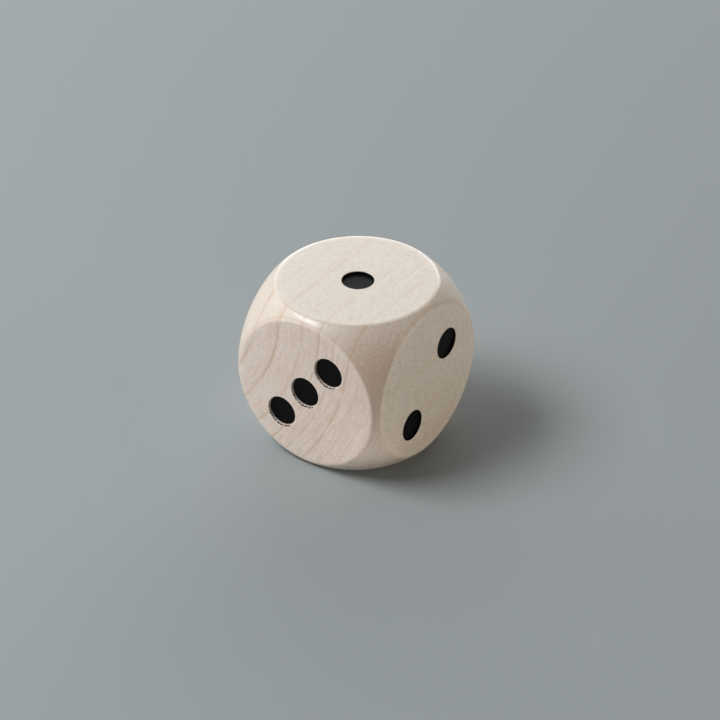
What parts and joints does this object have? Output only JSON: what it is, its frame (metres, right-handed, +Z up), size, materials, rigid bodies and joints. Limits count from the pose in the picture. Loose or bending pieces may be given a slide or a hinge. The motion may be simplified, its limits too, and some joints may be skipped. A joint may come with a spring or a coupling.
{
  "type": "wooden die",
  "caption": "Wooden die with ball-turned corners, a round flat on every side and shallow pressed pips lined with black foil, for board games.",
  "frame": {"origin": "middle of the face with six pips, on which the die rests", "axes": "+X out of the face with two pips, +Y along the grain and out of the face with four pips, +Z up and out of the face with one pip"},
  "size_m": [0.0294, 0.03, 0.0293],
  "materials": {
    "maple": "fine sanded, satin",
    "black_foil": "matte hot-stamping foil"
  },
  "bodies": {
    "root": {"die_body": "maple", "foil_one": "black_foil", "foil_two": "black_foil", "foil_three": "black_foil", "foil_four": "black_foil", "foil_five": "black_foil", "foil_six": "black_foil"}
  },
  "joints": []
}
